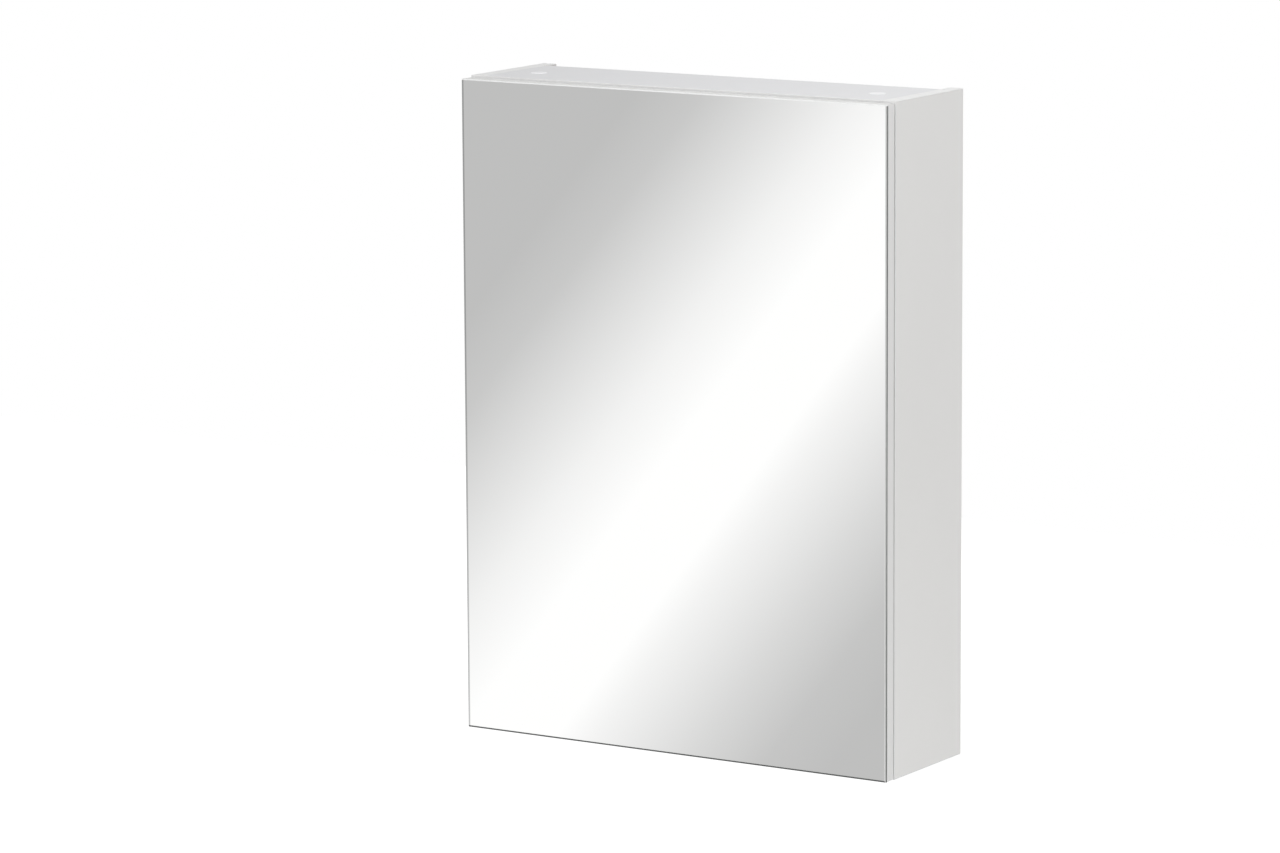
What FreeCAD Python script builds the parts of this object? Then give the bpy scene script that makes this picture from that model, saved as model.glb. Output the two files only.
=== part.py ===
"""Wall-hung mirror cabinet: white boards, two shelves and one mirrored door on concealed hinges.

Frame: +X to the viewer's right, +Y into the wall, +Z up. The origin is on the wall plane, midway
between the two hanger holes. All sizes are in millimetres.
"""
import FreeCAD
import Part
import Sketcher
import os
import re

# Driving sizes, each written once
SIZES = {
    "cabinet_width": 500.0,
    "cabinet_height": 680.0,
    "side_depth": 136.0,
    "board": 16.0,
    "rear_recess": 16.0,
    "fit_play": 0.05,
    # Back panel and its nails
    "back_thickness": 3.0,
    "back_inset": 1.0,
    "groove_depth": 5.0,
    "groove_play": 0.2,
    "nail_inset": 54.0,
    "nail_radius": 0.9,
    "nail_length": 18.0,
    "nail_head_radius": 2.5,
    "nail_head_height": 0.8,
    # Wall hangers
    "hanger_drop": 70.0,
    "hanger_gauge": 2.0,
    "hanger_back_gap": 2.0,
    "hanger_plate": 36.0,
    "hanger_height": 50.0,
    "hanger_hole_radius": 4.5,
    "hanger_hole_reach": 22.0,
    "hanger_screw_spacing": 30.0,
    # Wood screws
    "screw_radius": 1.9,
    "screw_bite": 11.0,
    "screw_head_radius": 3.6,
    "screw_head_height": 1.8,
    "screw_hole_play": 0.3,
    # Cam fittings and dowels that hold the boards together
    "cam_setback": 51.0,
    "cam_reach": 34.0,
    "cam_radius": 7.4,
    "cam_play": 0.1,
    "cam_height": 11.8,
    "cam_pocket_depth": 12.5,
    "cap_radius": 8.5,
    "cap_thickness": 1.0,
    "cap_stem_radius": 6.8,
    "cap_stem_length": 0.6,
    "bolt_thread_radius": 3.0,
    "bolt_thread_length": 10.5,
    "bolt_neck_radius": 2.5,
    "bolt_head_radius": 3.2,
    "bolt_head_length": 3.0,
    "bolt_bore_radius": 4.0,
    "bolt_channel_play": 0.4,
    "dowel_radius": 4.0,
    "dowel_length": 30.0,
    "dowel_in_side": 10.0,
    "dowel_end_room": 0.5,
    "dowel_front_setback": 20.0,
    "dowel_rear_inset": 25.0,
    # Shelves and their pins
    "shelf_thickness": 16.0,
    "shelf_setback": 11.0,
    "shelf_rear_gap": 2.0,
    "shelf_play": 1.0,
    "lower_shelf_height": 225.0,
    "upper_shelf_drop": 240.0,
    "pin_radius": 2.45,
    "pin_length": 9.5,
    "pin_end_room": 0.5,
    "pin_seat_length": 8.0,
    "pin_seat_width": 10.0,
    "pin_seat_height": 7.0,
    "pin_front_setback": 32.0,
    "pin_rear_inset": 21.0,
    "pin_pitch": 32.0,
    # Door
    "door_gap": 2.5,
    "door_top_gap": 2.2,
    "door_bottom_gap": 0.8,
    "door_board": 12.0,
    "tape_thickness": 0.5,
    "tape_width": 40.0,
    "tape_inset": 12.0,
    "glass_thickness": 3.0,
    "glass_arris": 1.2,
    "bumper_radius": 4.0,
    "bumper_play": 0.2,
    "bumper_inset": 8.0,
    "bumper_height_inset": 30.0,
    # Concealed hinges: cup in the door
    "hinge_inset": 95.0,
    "cup_edge": 3.0,
    "cup_radius": 17.5,
    "cup_depth": 10.5,
    "cup_floor": 0.9,
    "cup_rim": 1.5,
    "cup_flange": 0.8,
    "cup_pocket_length": 30.6,
    "cup_pocket_height": 13.2,
    "cup_notch_height": 7.2,
    "cup_notch_depth": 2.4,
    "cup_bore_room": 0.1,
    "ear_offset": 9.5,
    "ear_width": 12.0,
    "ear_height": 55.0,
    "cup_screw_spacing": 45.0,
    "cup_screw_radius": 1.7,
    "cup_screw_bite": 9.0,
    "cup_screw_head_height": 0.6,
    # Concealed hinges: mounting plate and arm on the side panel
    "plate_thickness": 1.6,
    "plate_setback": 26.0,
    "plate_depth": 24.0,
    "plate_height": 48.0,
    "plate_screw_setback": 37.0,
    "plate_screw_spacing": 32.0,
    "saddle_setback": 24.0,
    "saddle_depth": 34.0,
    "saddle_height": 7.5,
    "arm_half_width": 6.1,
    "arm_cheek": 1.2,
    "arm_web": 1.4,
    "arm_clear": 3.0,
    "arm_length": 60.0,
    "arm_neck": 8.0,
    "arm_strap_radius": 2.8,
    "arm_play": 0.3,
    "arm_screw_setback": 48.0,
    "arm_screw_head_radius": 3.2,
    "adjuster_setback": 32.0,
    "adjuster_radius": 2.0,
    # Concealed hinges: links and pins, measured from the side's inner face or the door's edge
    "link_pin_radius": 1.0,
    "link_radius": 2.0,
    "main_link_half_width": 2.8,
    "guide_link_thickness": 1.4,
    "guide_link_gap": 0.4,
    "guide_end_room": 2.75,
    "guide_end_shift": 0.5,
    "arm_pin_reach": 11.5,
    "arm_pin_forward": 0.6,
    "guide_arm_pin_reach": 16.0,
    "guide_arm_pin_forward": 8.6,
    "cup_pin_reach": 10.3,
    "cup_pin_sink": 2.1,
    "guide_cup_pin_reach": 15.0,
    "guide_cup_pin_sink": 1.7,
    "cup_pin_grip": 2.0,
}

TAPE_STRIPS = 5
ROW_STEPS = (-1, 0, 1)
ENDS = (-1, 1)

doc = FreeCAD.newDocument("mirror_cabinet")
sheet = doc.addObject("Spreadsheet::Sheet", "Sizes")
for row, (alias, size) in enumerate(SIZES.items(), start=1):
    sheet.set(f"A{row}", alias)
    sheet.set(f"B{row}", str(size))
    sheet.setAlias(f"B{row}", alias)
doc.recompute()

PIECES = {}
TURNS = {
    "x": FreeCAD.Rotation(FreeCAD.Vector(0, 1, 0), 90),
    "y": FreeCAD.Rotation(FreeCAD.Vector(1, 0, 0), -90),
    "z": FreeCAD.Rotation(),
}


def formula(text):
    """Point every size named in the text at its cell."""
    return re.sub(r"[a-z_]+", lambda word: f"Sizes.{word[0]}" if word[0] in SIZES else word[0], text)


def put(solid, corner):
    for axis, text in zip("xyz", corner):
        solid.setExpression(f"Placement.Base.{axis}", formula(text))


def block(size, corner):
    """A box of the given size with its lowest corner at corner."""
    solid = doc.addObject("Part::Box", "Block")
    for side, text in zip(("Length", "Width", "Height"), size):
        solid.setExpression(side, formula(text))
    put(solid, corner)
    return solid


def rod(radius, length, base, along):
    """A cylinder that starts at base and runs along +x, +y or +z."""
    solid = doc.addObject("Part::Cylinder", "Rod")
    solid.setExpression("Radius", formula(radius))
    solid.setExpression("Height", formula(length))
    solid.Placement = FreeCAD.Placement(FreeCAD.Vector(), TURNS[along])
    put(solid, base)
    return solid


def join(solids):
    fused = doc.addObject("Part::MultiFuse", "Joined")
    fused.Shapes = solids
    return fused


def cut(base, tools):
    result = doc.addObject("Part::Cut", "Trimmed")
    result.Base = base
    result.Tool = tools[0] if len(tools) == 1 else join(tools)
    return result


def strap(start, end, radius, low, thickness):
    """A flat link with round ends, lying in the XY plane from start to end."""
    run_x = f"(({end[0]}) - ({start[0]}))"
    run_y = f"(({end[1]}) - ({start[1]}))"
    length = f"sqrt({run_x}^2 + {run_y}^2)"
    corner_x = f"{start[0]} + {radius} * {run_y} / {length}"
    corner_y = f"{start[1]} - {radius} * {run_x} / {length}"
    middle = block((length, f"2 * {radius}", thickness), (corner_x, corner_y, low))
    middle.setExpression("Placement.Rotation.Angle", formula(f"atan2({run_y}; {run_x})"))
    eyes = [rod(radius, thickness, (x, y, low), "z") for x, y in (start, end)]
    return join([middle] + eyes)


def piece(label, solids):
    """Name a finished piece; several separate solids share one node."""
    solid = solids[0]
    if len(solids) > 1:
        solid = doc.addObject("Part::Compound", "Group")
        solid.Links = solids
    solid.Label = label
    PIECES[label] = solid


# Places, as formulas of the sizes
def from_front(depth):
    return f"(-side_depth + {depth})"


def from_top(drop):
    return f"(hanger_drop - ({drop}))"


def from_bottom(rise):
    return f"(hanger_drop - cabinet_height + {rise})"


def across(end, distance, length="0"):
    """Lowest x of a span of that length, distance in from the left (-1) or right (+1) outer face."""
    if end < 0:
        return f"(-cabinet_width/2 + {distance})"
    return f"(cabinet_width/2 - ({distance}) - ({length}))"


def into_side(end, radius, depth, y, z):
    """A round hole or shank that goes from a side panel's inner face towards its outer face."""
    return rod(radius, depth, (across(end, f"board - ({depth})", depth), y, z), "x")


def into_room(end, radius, length, y, z, start="board"):
    """A round span that goes from a side panel's inner face towards the middle."""
    return rod(radius, length, (across(end, start, length), y, z), "x")


INNER = "(cabinet_width - 2*board)"
TOP_DEPTH = "(side_depth - rear_recess - back_thickness)"
BACK_REAR = f"({TOP_DEPTH} + back_thickness)"
DOOR_HEIGHT = "(cabinet_height - door_top_gap - door_bottom_gap)"
LEVELS = {"top": from_top("board/2"), "bottom": from_bottom("board/2")}
DOWEL_SETBACKS = ("dowel_front_setback", f"({TOP_DEPTH} - dowel_rear_inset)")
PIN_SETBACKS = ("pin_front_setback", f"({TOP_DEPTH} - pin_rear_inset)")
SHELF_HEIGHTS = {"lower": "lower_shelf_height", "upper": "(cabinet_height - upper_shelf_drop)"}
NAIL_REACH = f"({INNER}/2 - nail_inset)"
HANGER_LEG = "(rear_recess - hanger_back_gap)"
HINGE_LEVELS = {
    "lower": from_bottom("door_bottom_gap + hinge_inset"),
    "upper": from_top("door_top_gap + hinge_inset"),
}
PLATE_SCREW_Y = from_front("plate_screw_setback")
HANGER_SCREW_Y = f"-({HANGER_LEG} + hanger_gauge)/2"


def plate_screw_levels(middle):
    return [f"{middle} + {end} * plate_screw_spacing/2" for end in ENDS]


def hanger_screw_levels():
    return [f"{end} * hanger_screw_spacing/2" for end in ENDS]


# Side panels, drilled for fittings and grooved for the back
def side_panel(end):
    panel = block(("board", "side_depth", "cabinet_height"),
                  (across(end, "0", "board"), from_front("0"), from_bottom("0")))
    tools = [block(("groove_depth", "back_thickness + groove_play", "cabinet_height"),
                   (across(end, "board - groove_depth", "groove_depth"),
                    from_front(TOP_DEPTH), from_bottom("0")))]
    for level in LEVELS.values():
        tools.append(into_side(end, "bolt_thread_radius + fit_play", "bolt_thread_length + dowel_end_room",
                               from_front("cam_setback"), level))
        for setback in DOWEL_SETBACKS:
            tools.append(into_side(end, "dowel_radius + fit_play", "dowel_in_side + dowel_end_room",
                                   from_front(setback), level))
    for height in SHELF_HEIGHTS.values():
        for setback in PIN_SETBACKS:
            for step in ROW_STEPS:
                level = from_bottom(f"{height} - pin_seat_height/2 + {step} * pin_pitch")
                tools.append(into_side(end, "pin_radius + fit_play", "pin_length + pin_end_room",
                                       from_front(setback), level))
    for level in hanger_screw_levels():
        tools.append(into_side(end, "screw_radius + fit_play", "screw_bite + dowel_end_room",
                               HANGER_SCREW_Y, level))
    if end < 0:
        for middle in HINGE_LEVELS.values():
            for level in plate_screw_levels(middle):
                tools.append(into_side(end, "screw_radius + fit_play", "screw_bite + dowel_end_room",
                                       PLATE_SCREW_Y, level))
    return cut(panel, tools)


# Top and bottom panels between the sides, pocketed for cams on their outer faces
def cross_panel(name):
    floor = from_top("board") if name == "top" else from_bottom("0")
    panel = block((INNER, TOP_DEPTH, "board"), (across(-1, "board"), from_front("0"), floor))
    pocket_floor = from_top("cam_pocket_depth") if name == "top" else from_bottom("0")
    tools = []
    for end in ENDS:
        cam_x = across(end, "board + cam_reach")
        tools.append(rod("cam_radius + cam_play", "cam_pocket_depth",
                         (cam_x, from_front("cam_setback"), pocket_floor), "z"))
        tools.append(into_room(end, "bolt_bore_radius", "cam_reach", from_front("cam_setback"),
                               LEVELS[name]))
        for setback in DOWEL_SETBACKS:
            tools.append(into_room(end, "dowel_radius + fit_play",
                                   "dowel_length - dowel_in_side + dowel_end_room",
                                   from_front(setback), LEVELS[name]))
    for step in ROW_STEPS:
        tools.append(rod("nail_radius + fit_play", "nail_length",
                         (f"{step} * {NAIL_REACH}", from_front(f"{BACK_REAR} - nail_length"),
                          LEVELS[name]), "y"))
    return cut(panel, tools)


def back_panel():
    panel = block((f"{INNER} + 2*(groove_depth - groove_play)", "back_thickness",
                   "cabinet_height - 2*back_inset"),
                  (across(-1, "board - groove_depth + groove_play"), from_front(TOP_DEPTH),
                   from_bottom("back_inset")))
    holes = [rod("nail_radius + fit_play", "back_thickness",
                 (f"{step} * {NAIL_REACH}", from_front(TOP_DEPTH), level), "y")
             for step in ROW_STEPS for level in LEVELS.values()]
    return cut(panel, holes)


def back_nail(step, level):
    x = f"{step} * {NAIL_REACH}"
    shank = rod("nail_radius", "nail_length", (x, from_front(f"{BACK_REAR} - nail_length"), level), "y")
    head = rod("nail_head_radius", "nail_head_height", (x, from_front(BACK_REAR), level), "y")
    return join([shank, head])


# Knock-down fittings: a cam in the cross panel pulls on a bolt in the side panel
def cam_lock(end, name):
    floor = from_top("cam_pocket_depth") if name == "top" else from_bottom("cam_pocket_depth - cam_height")
    drum = rod("cam_radius", "cam_height",
               (across(end, "board + cam_reach"), from_front("cam_setback"), floor), "z")
    half = "(bolt_head_radius + bolt_channel_play)"
    length = f"(cam_radius + {half})"
    channel = block((length, f"2*{half}", f"2*{half}"),
                    (across(end, "board + cam_reach - cam_radius", length),
                     from_front(f"cam_setback - {half}"), f"{LEVELS[name]} - {half}"))
    return cut(drum, [channel])


def cam_bolt(end, name):
    y = from_front("cam_setback")
    level = LEVELS[name]
    thread = into_side(end, "bolt_thread_radius", "bolt_thread_length", y, level)
    neck = into_room(end, "bolt_neck_radius", "cam_reach", y, level)
    head = into_room(end, "bolt_head_radius", "bolt_head_length", y, level,
                     "board + cam_reach - bolt_head_length/2")
    return join([thread, neck, head])


def cam_cap(end, name):
    place = (across(end, "board + cam_reach"), from_front("cam_setback"))
    disc_floor = from_top("0") if name == "top" else from_bottom("-cap_thickness")
    stem_floor = from_top("cap_stem_length") if name == "top" else from_bottom("0")
    disc = rod("cap_radius", "cap_thickness", place + (disc_floor,), "z")
    stem = rod("cap_stem_radius", "cap_stem_length", place + (stem_floor,), "z")
    return join([disc, stem])


def dowel(end, setback, level):
    return rod("dowel_radius", "dowel_length",
               (across(end, "board - dowel_in_side", "dowel_length"), from_front(setback), level), "x")


# Shelves lie loose on four pins each
def shelf(height):
    depth = f"{TOP_DEPTH} - shelf_setback - shelf_rear_gap"
    return block((f"{INNER} - 2*shelf_play", depth, "shelf_thickness"),
                 (across(-1, "board + shelf_play"), from_front("shelf_setback"), from_bottom(height)))


def shelf_pin(end, setback, height):
    shank = into_side(end, "pin_radius", "pin_length", from_front(setback),
                      from_bottom(f"{height} - pin_seat_height/2"))
    seat = block(("pin_seat_length", "pin_seat_width", "pin_seat_height"),
                 (across(end, "board", "pin_seat_length"), from_front(f"{setback} - pin_seat_width/2"),
                  from_bottom(f"{height} - pin_seat_height")))
    return join([shank, seat])


# Wall hangers: steel angles screwed to the sides behind the back panel
def hanger_bracket(end):
    floor = "-hanger_height/2"
    leg = block(("hanger_gauge", HANGER_LEG, "hanger_height"),
                (across(end, "board", "hanger_gauge"), f"-{HANGER_LEG}", floor))
    plate = block(("hanger_plate", "hanger_gauge", "hanger_height"),
                  (across(end, "board", "hanger_plate"), "-hanger_gauge", floor))
    holes = [rod("hanger_hole_radius", "hanger_gauge",
                 (across(end, "board + hanger_hole_reach"), "-hanger_gauge", "0"), "y")]
    for level in hanger_screw_levels():
        holes.append(into_room(end, "screw_radius + screw_hole_play", "hanger_gauge", HANGER_SCREW_Y, level))
    return cut(join([leg, plate]), holes)


def wood_screw(end, gauge, y, level):
    """A screw through sheet metal of that gauge into a side panel."""
    shank = into_side(end, "screw_radius", "screw_bite", y, level)
    neck = into_room(end, "screw_radius", gauge, y, level)
    head = into_room(end, "screw_head_radius", "screw_head_height", y, level, f"board + {gauge}")
    return join([shank, neck, head])


# Door: thin board, tape strips and mirror glass
DOOR_REAR = from_front("-door_gap")
BOARD_FRONT = from_front("-(door_gap + door_board)")
CUP_X = across(-1, "cup_edge + cup_radius")
EAR_X = across(-1, "cup_edge + cup_radius + ear_offset")


def cup_screw_levels(middle):
    return [f"{middle} + {end} * cup_screw_spacing/2" for end in ENDS]


def door_board():
    board = block(("cabinet_width", "door_board", DOOR_HEIGHT),
                  (across(-1, "0"), BOARD_FRONT, from_bottom("door_bottom_gap")))
    tools = []
    for middle in HINGE_LEVELS.values():
        depth = "(cup_depth + cup_bore_room)"
        tools.append(rod("cup_radius + fit_play", depth, (CUP_X, f"{DOOR_REAR} - {depth}", middle), "y"))
        for level in cup_screw_levels(middle):
            tools.append(rod("cup_screw_radius + fit_play", "cup_screw_bite + cup_bore_room",
                             (EAR_X, f"{DOOR_REAR} - cup_screw_bite - cup_bore_room", level), "y"))
    return cut(board, tools)


def tape_strip(index):
    step = f"(cabinet_width - 2*tape_inset - tape_width) / {TAPE_STRIPS - 1}"
    return block(("tape_width", "tape_thickness", f"{DOOR_HEIGHT} - 2*tape_inset"),
                 (across(-1, f"tape_inset + {index} * {step}"), f"{BOARD_FRONT} - tape_thickness",
                  from_bottom("door_bottom_gap + tape_inset")))


def mirror_glass():
    """A sheet with its front edges ground to a small flat."""
    body = doc.addObject("PartDesign::Body", "Glass")
    plane = next(item for item in body.Origin.OriginFeatures if item.Role == "XZ_Plane")
    sketch = body.newObject("Sketcher::SketchObject", "GlassOutline")
    sketch.AttachmentSupport = [(plane, "")]
    sketch.MapMode = "FlatFace"
    corners = [(0, 0), (SIZES["cabinet_width"], 0), (SIZES["cabinet_width"], SIZES["cabinet_height"]),
               (0, SIZES["cabinet_height"])]
    points = [FreeCAD.Vector(x, z, 0) for x, z in corners]
    for start in range(len(points)):
        sketch.addGeometry(Part.LineSegment(points[start], points[(start + 1) % len(points)]))
    for line in range(len(points)):
        sketch.addConstraint(Sketcher.Constraint("Coincident", line, 2, (line + 1) % len(points), 1))
        sketch.addConstraint(Sketcher.Constraint("Horizontal" if line % 2 == 0 else "Vertical", line))
    sketch.addConstraint(Sketcher.Constraint("Coincident", 0, 1, -1, 1))
    width = sketch.addConstraint(Sketcher.Constraint("Distance", 0, SIZES["cabinet_width"]))
    height = sketch.addConstraint(Sketcher.Constraint("Distance", 1, SIZES["cabinet_height"]))
    sketch.setExpression(f"Constraints[{width}]", formula("cabinet_width"))
    sketch.setExpression(f"Constraints[{height}]", formula(DOOR_HEIGHT))
    pad = body.newObject("PartDesign::Pad", "GlassSheet")
    pad.Profile = sketch
    pad.setExpression("Length", formula("glass_thickness"))
    put(body, (across(-1, "0"), f"{BOARD_FRONT} - tape_thickness", from_bottom("door_bottom_gap")))
    doc.recompute()
    front = min(edge.BoundBox.YMin for edge in pad.Shape.Edges)
    edges = [f"Edge{number}" for number, edge in enumerate(pad.Shape.Edges, start=1)
             if edge.BoundBox.YMax < front + SIZES["glass_thickness"] / 2]
    arris = body.newObject("PartDesign::Chamfer", "GlassArris")
    arris.Base = (pad, edges)
    arris.setExpression("Size", formula("glass_arris"))
    body.Tip = arris
    return body


def door_bumper(level):
    return rod("bumper_radius", "door_gap - bumper_play", (across(1, "bumper_inset"), DOOR_REAR, level), "y")


# Concealed hinges, on the left side
ARM_PIN = (across(-1, "board + arm_pin_reach"), from_front("-arm_pin_forward"))
GUIDE_ARM_PIN = (across(-1, "board + guide_arm_pin_reach"), from_front("-guide_arm_pin_forward"))
CUP_PIN = (across(-1, "cup_pin_reach"), from_front("-(door_gap + cup_pin_sink)"))
GUIDE_CUP_PIN = (across(-1, "guide_cup_pin_reach"), from_front("-(door_gap + guide_cup_pin_sink)"))
ARM_NECK = (across(-1, "board + arm_clear + arm_strap_radius"), from_front("arm_neck"))
WEB_FACE = "(board + plate_thickness + saddle_height)"
GUIDE_LOW = "(main_link_half_width + guide_link_gap)"


def pin_bore(place, middle, half):
    return rod("link_pin_radius + fit_play", f"2*{half}", place + (f"{middle} - {half}",), "z")


def link_pin(place, middle, half):
    return rod("link_pin_radius", f"2*{half}", place + (f"{middle} - {half}",), "z")


def hinge_plate(middle):
    base = block(("plate_thickness", "plate_depth", "plate_height"),
                 (across(-1, "board"), from_front("plate_setback"), f"{middle} - plate_height/2"))
    half = "(arm_half_width - arm_cheek - arm_play)"
    saddle = block(("saddle_height", "saddle_depth", f"2*{half}"),
                   (across(-1, "board + plate_thickness"), from_front("saddle_setback"),
                    f"{middle} - {half}"))
    tools = [into_room(-1, "screw_radius + screw_hole_play", "plate_thickness", PLATE_SCREW_Y, level)
             for level in plate_screw_levels(middle)]
    for setback, radius in (("arm_screw_setback", "screw_radius"), ("adjuster_setback", "adjuster_radius")):
        tools.append(into_room(-1, f"{radius} + fit_play", "saddle_height", from_front(setback), middle,
                               "board + plate_thickness"))
    return cut(join([base, saddle]), tools)


def hinge_arm(middle):
    """A channel over the plate's saddle, with two cheeks that carry the link pins."""
    cheeks = []
    for low in (f"{middle} - arm_half_width", f"{middle} + arm_half_width - arm_cheek"):
        rail = block((f"{WEB_FACE} + arm_web - board - arm_clear", "arm_length", "arm_cheek"),
                     (across(-1, "board + arm_clear"), from_front("arm_neck - arm_strap_radius"), low))
        neck = strap(ARM_NECK, ARM_PIN, "arm_strap_radius", low, "arm_cheek")
        nose = strap(ARM_PIN, GUIDE_ARM_PIN, "arm_strap_radius", low, "arm_cheek")
        cheeks += [rail, neck, nose]
    web = block(("arm_web", "arm_length", "2*arm_half_width"),
                (across(-1, WEB_FACE), from_front("arm_neck - arm_strap_radius"),
                 f"{middle} - arm_half_width"))
    tools = [pin_bore(place, middle, "arm_half_width") for place in (ARM_PIN, GUIDE_ARM_PIN)]
    for setback, radius in (("arm_screw_setback", "screw_radius"), ("adjuster_setback", "adjuster_radius")):
        tools.append(into_room(-1, f"{radius} + fit_play", "arm_web", from_front(setback), middle, WEB_FACE))
    return cut(join(cheeks + [web]), tools)


def arm_screw(middle):
    y = from_front("arm_screw_setback")
    shank = into_room(-1, "screw_radius", "saddle_height + arm_web", y, middle, "board + plate_thickness")
    head = into_room(-1, "arm_screw_head_radius", "screw_head_height", y, middle, f"{WEB_FACE} + arm_web")
    return join([shank, head])


def adjusting_screw(middle):
    return into_room(-1, "adjuster_radius", "saddle_height + arm_web", from_front("adjuster_setback"),
                     middle, "board + plate_thickness")


def main_link(middle):
    low = f"{middle} - main_link_half_width"
    link = strap(ARM_PIN, CUP_PIN, "link_radius", low, "2*main_link_half_width")
    return cut(link, [pin_bore(place, middle, "main_link_half_width") for place in (ARM_PIN, CUP_PIN)])


def guide_links(middle):
    """Two plates; their door ends stop short, hollowed around the path of the door's guide pins."""
    plates = []
    for low in (f"{middle} - {GUIDE_LOW} - guide_link_thickness", f"{middle} + {GUIDE_LOW}"):
        plate = strap(GUIDE_ARM_PIN, GUIDE_CUP_PIN, "link_radius", low, "guide_link_thickness")
        hollow = rod("guide_end_room", "guide_link_thickness",
                     (GUIDE_CUP_PIN[0], f"{GUIDE_CUP_PIN[1]} - guide_end_shift", low), "z")
        bore = rod("link_pin_radius + fit_play", "guide_link_thickness", GUIDE_ARM_PIN + (low,), "z")
        plates.append(cut(plate, [hollow, bore]))
    return plates


def hinge_cup(middle):
    floor = f"{DOOR_REAR} - cup_depth"
    bowl = rod("cup_radius", "cup_depth", (CUP_X, floor, middle), "y")
    rim = rod("cup_radius + cup_rim", "cup_flange", (CUP_X, DOOR_REAR, middle), "y")
    ears = block(("ear_width", "cup_flange", "ear_height"),
                 (f"{EAR_X} - ear_width/2", DOOR_REAR, f"{middle} - ear_height/2"))
    pocket = block(("cup_pocket_length", "cup_depth - cup_floor + cup_flange", "cup_pocket_height"),
                   (f"{CUP_X} - cup_pocket_length/2", f"{floor} + cup_floor",
                    f"{middle} - cup_pocket_height/2"))
    notch = block(("cup_radius + cup_rim - cup_pocket_length/2", "cup_notch_depth + cup_flange",
                   "cup_notch_height"),
                  (f"{CUP_X} - cup_radius - cup_rim", f"{DOOR_REAR} - cup_notch_depth",
                   f"{middle} - cup_notch_height/2"))
    tools = [pocket, notch]
    tools += [pin_bore(place, middle, "(cup_pocket_height/2 + cup_pin_grip)")
              for place in (CUP_PIN, GUIDE_CUP_PIN)]
    tools += [rod("cup_screw_radius + fit_play", "cup_flange", (EAR_X, DOOR_REAR, level), "y")
              for level in cup_screw_levels(middle)]
    return cut(join([bowl, rim, ears]), tools)


def cup_pins(middle):
    """One full pin for the main link and two short pins beside it for the guide links."""
    half = "(cup_pocket_height/2 + cup_pin_grip)"
    short = f"({half} - {GUIDE_LOW})"
    pins = [link_pin(CUP_PIN, middle, half)]
    for low in (f"{middle} - {half}", f"{middle} + {GUIDE_LOW}"):
        pins.append(rod("link_pin_radius", short, GUIDE_CUP_PIN + (low,), "z"))
    return pins


def cup_screw(level):
    shank = rod("cup_screw_radius", "cup_screw_bite + cup_flange",
                (EAR_X, f"{DOOR_REAR} - cup_screw_bite", level), "y")
    head = rod("screw_head_radius", "cup_screw_head_height",
               (EAR_X, f"{DOOR_REAR} + cup_flange", level), "y")
    return join([shank, head])


# Pieces of the fixed carcass
piece("side_panel_left", [side_panel(-1)])
piece("side_panel_right", [side_panel(1)])
for name in LEVELS:
    piece(f"{name}_panel", [cross_panel(name)])
    piece(f"{name}_cam_caps", [cam_cap(end, name) for end in ENDS])
piece("back_panel", [back_panel()])
piece("back_panel_nails", [back_nail(step, level) for step in ROW_STEPS for level in LEVELS.values()])
piece("cam_locks", [cam_lock(end, name) for end in ENDS for name in LEVELS])
piece("cam_bolts", [cam_bolt(end, name) for end in ENDS for name in LEVELS])
piece("wooden_dowels", [dowel(end, setback, level) for end in ENDS for setback in DOWEL_SETBACKS
                        for level in LEVELS.values()])
for name, end in (("left", -1), ("right", 1)):
    piece(f"hanger_bracket_{name}", [hanger_bracket(end)])
piece("hanger_screws", [wood_screw(end, "hanger_gauge", HANGER_SCREW_Y, level)
                        for end in ENDS for level in hanger_screw_levels()])

# Shelves and pins
for name, height in SHELF_HEIGHTS.items():
    piece(f"{name}_shelf", [shelf(height)])
    piece(f"{name}_shelf_pins", [shelf_pin(end, setback, height)
                                 for end in ENDS for setback in PIN_SETBACKS])

# Hinges
for name, middle in HINGE_LEVELS.items():
    piece(f"{name}_hinge_plate", [hinge_plate(middle)])
    piece(f"{name}_hinge_arm", [hinge_arm(middle)])
    piece(f"{name}_hinge_main_link", [main_link(middle)])
    piece(f"{name}_hinge_guide_links", guide_links(middle))
    piece(f"{name}_hinge_cup", [hinge_cup(middle)])
piece("hinge_plate_screws", [wood_screw(-1, "plate_thickness", PLATE_SCREW_Y, level)
                             for middle in HINGE_LEVELS.values() for level in plate_screw_levels(middle)])
piece("hinge_arm_screws", [screw(middle) for middle in HINGE_LEVELS.values()
                           for screw in (arm_screw, adjusting_screw)])
piece("hinge_arm_pins", [link_pin(place, middle, "arm_half_width") for middle in HINGE_LEVELS.values()
                         for place in (ARM_PIN, GUIDE_ARM_PIN)])
piece("hinge_cup_pins", [pin for middle in HINGE_LEVELS.values() for pin in cup_pins(middle)])
piece("hinge_cup_screws", [cup_screw(level) for middle in HINGE_LEVELS.values()
                           for level in cup_screw_levels(middle)])

# Door
piece("door_board", [door_board()])
piece("mirror_tape", [tape_strip(index) for index in range(TAPE_STRIPS)])
piece("mirror_glass", [mirror_glass()])
piece("door_bumpers", [door_bumper(from_top("door_top_gap + bumper_height_inset")),
                       door_bumper(from_bottom("door_bottom_gap + bumper_height_inset"))])

# Check every object and every finished piece, then write the pieces
doc.recompute()
for item in doc.Objects:
    if "Invalid" in item.State or "Error" in item.State:
        raise RuntimeError(f"{item.Label} failed: {item.State}")
os.makedirs("parts", exist_ok=True)
for label, solid in PIECES.items():
    if solid.Shape.isNull() or not solid.Shape.isValid():
        raise RuntimeError(f"{label} has no valid shape")
for label, solid in PIECES.items():
    solid.Shape.exportStep(os.path.join("parts", f"{label}.step"))
    print(f"{label}: {len(solid.Shape.Solids)} solids, {solid.Shape.Volume:.0f} mm3")
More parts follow.
